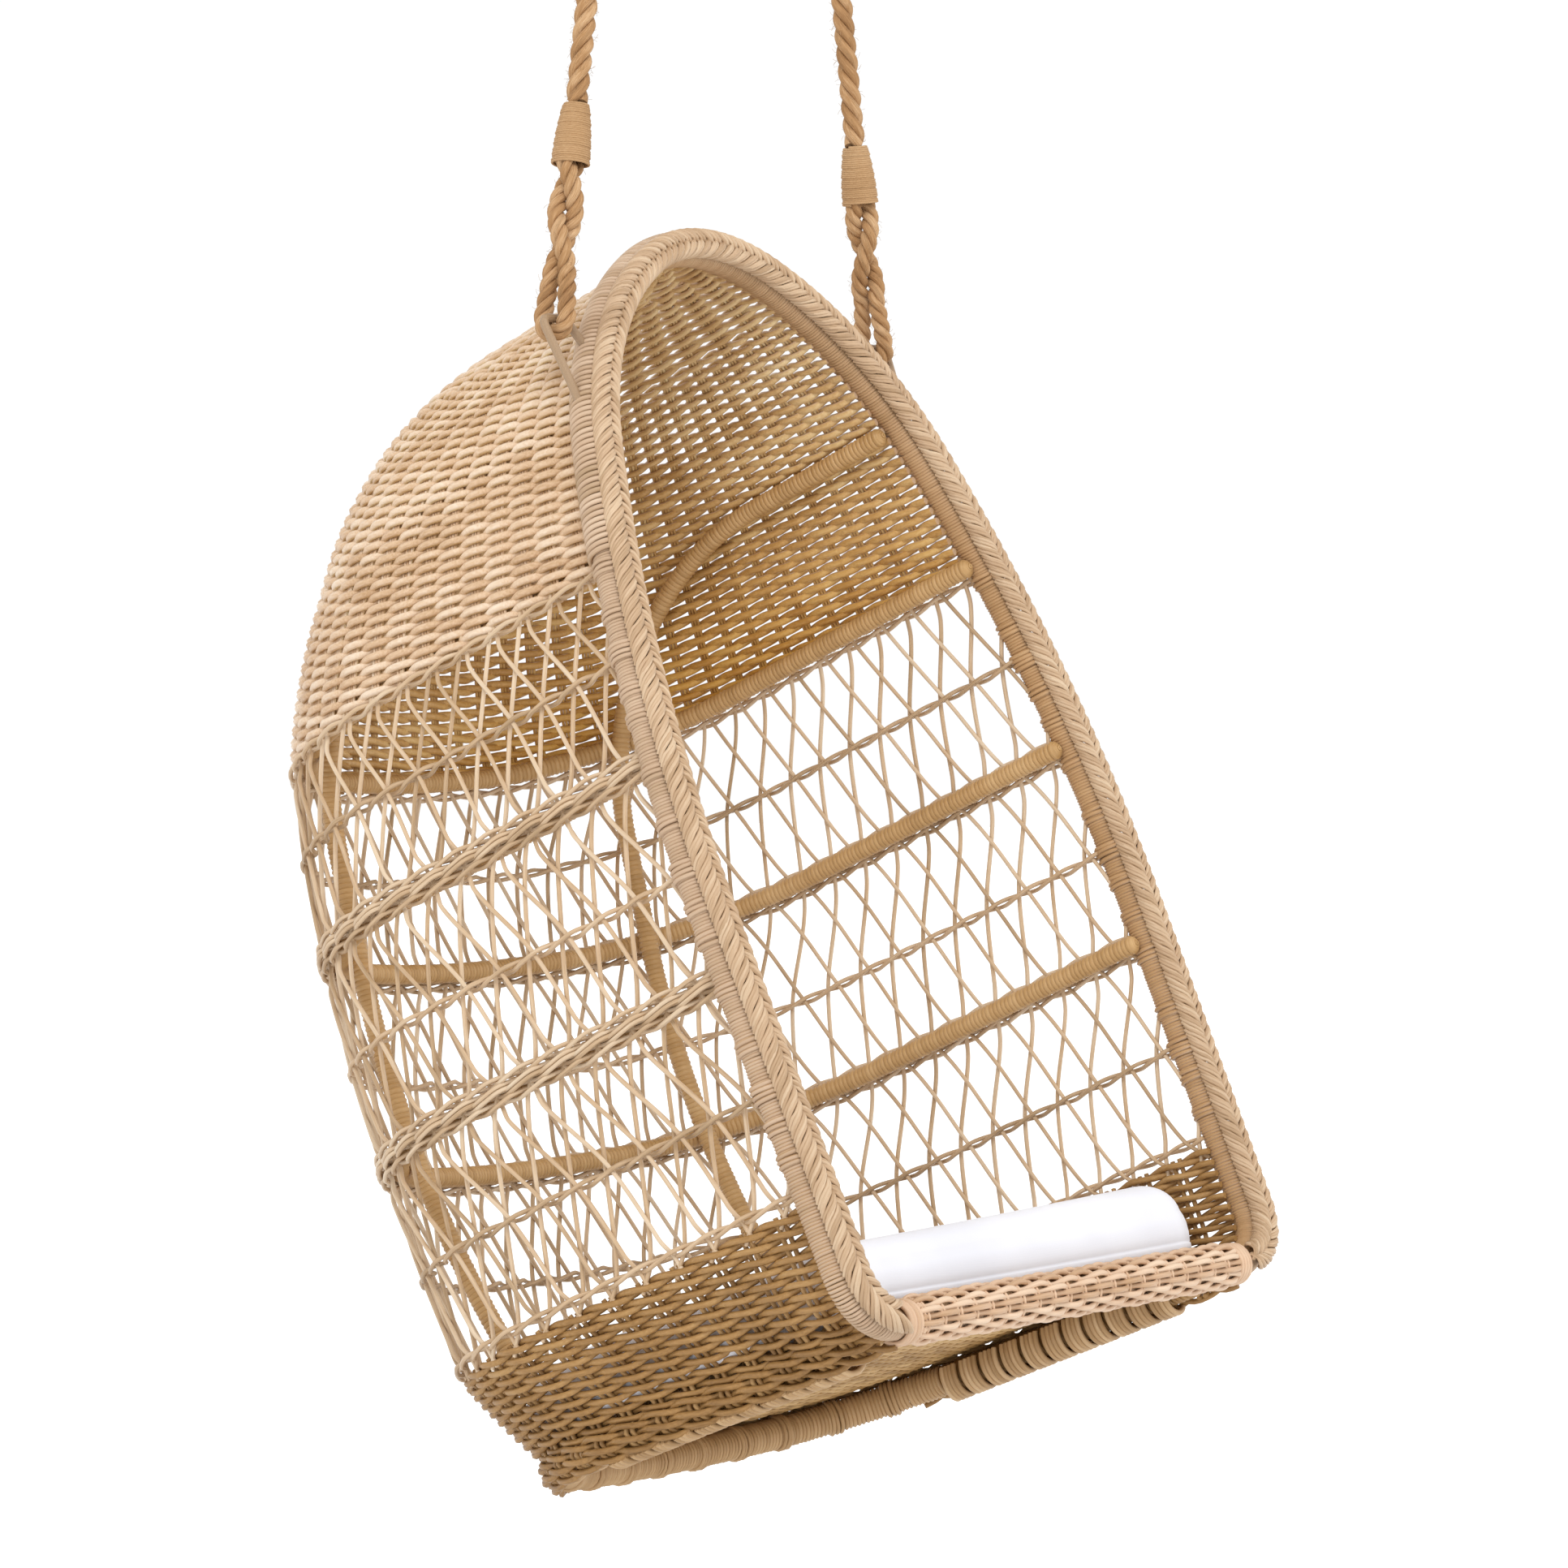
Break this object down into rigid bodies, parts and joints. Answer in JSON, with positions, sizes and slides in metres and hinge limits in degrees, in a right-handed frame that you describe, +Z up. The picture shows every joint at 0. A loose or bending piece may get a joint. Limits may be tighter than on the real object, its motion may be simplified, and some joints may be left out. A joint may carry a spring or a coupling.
{
  "type": "hanging egg chair",
  "caption": "Hanging egg chair with a woven hood, open lattice back and sides, dense woven base and a seat cushion, hung leaning back from ropes.",
  "frame": {"origin": "midway between the two ceiling brackets, on the ceiling's face", "axes": "+Z up, +X to the right of a person facing the open front's back wall from outside, the open front faces -Y"},
  "size_m": [0.702, 0.7927, 1.4946],
  "materials": {
    "bracket_metal": "satin",
    "bail_metal": "satin",
    "rope": "matte",
    "rope_whipping": "matte",
    "hoop_wrap": "satin",
    "braid": "satin",
    "wrapped_rail": "satin",
    "wrapped_post": "satin",
    "strand": "satin",
    "hood_weave": "satin",
    "base_weave": "satin",
    "base_wrap": "satin",
    "roll_weave": "satin",
    "cushion_fabric": "matte"
  },
  "bodies": {
    "ceiling": {"ceiling_bracket_left": "bracket_metal", "ceiling_bracket_right": "bracket_metal", "bracket_pin_left": "bracket_metal", "bracket_pin_right": "bracket_metal"},
    "ropes": {"rope_left": "rope", "rope_right": "rope", "upper_eye_left": "rope", "upper_eye_right": "rope", "upper_whipping_left": "rope_whipping", "upper_whipping_right": "rope_whipping", "lower_whipping_left": "rope_whipping", "lower_whipping_right": "rope_whipping", "lower_eye_left": "rope", "lower_eye_right": "rope"},
    "chair": {"front_hoop": "hoop_wrap", "braided_rim": "braid", "hanger_bail_left": "bail_metal", "hanger_bail_right": "bail_metal", "side_tube_left": "wrapped_post", "side_tube_right": "wrapped_post", "hood_rail": "wrapped_rail", "upper_rail": "wrapped_rail", "lower_rail": "wrapped_rail", "hood_edge_row": "strand", "upper_rail_band": "strand", "lower_rail_band": "strand", "base_edge_row": "strand", "twined_row_top": "strand", "twined_row_middle": "strand", "twined_row_bottom": "strand", "lattice_top": "strand", "lattice_middle": "strand", "lattice_bottom": "strand", "hood_weave": "hood_weave", "base_weave": "base_weave", "bottom_rail": "base_wrap", "front_roll": "roll_weave", "roll_wrap_left": "hoop_wrap", "roll_wrap_right": "hoop_wrap", "seat_weave": "base_weave"},
    "cushion": {"seat_cushion": "cushion_fabric"}
  },
  "joints": [
    {"name": "rope_swing", "type": "hinge", "parent": "ceiling", "child": "ropes", "pos_m": [0, 0, -0.028], "axis": [1, 0, 0], "range_deg": [-25, 25]},
    {"name": "chair_tip", "type": "hinge", "parent": "ropes", "child": "chair", "pos_m": [0, 0, -0.45], "axis": [1, 0, 0], "range_deg": [-20, 30]},
    {"name": "cushion_lift_out", "type": "slide", "parent": "chair", "child": "cushion", "axis": [0, -0.9265, 0.3762], "range_m": [0, 0.5]}
  ]
}
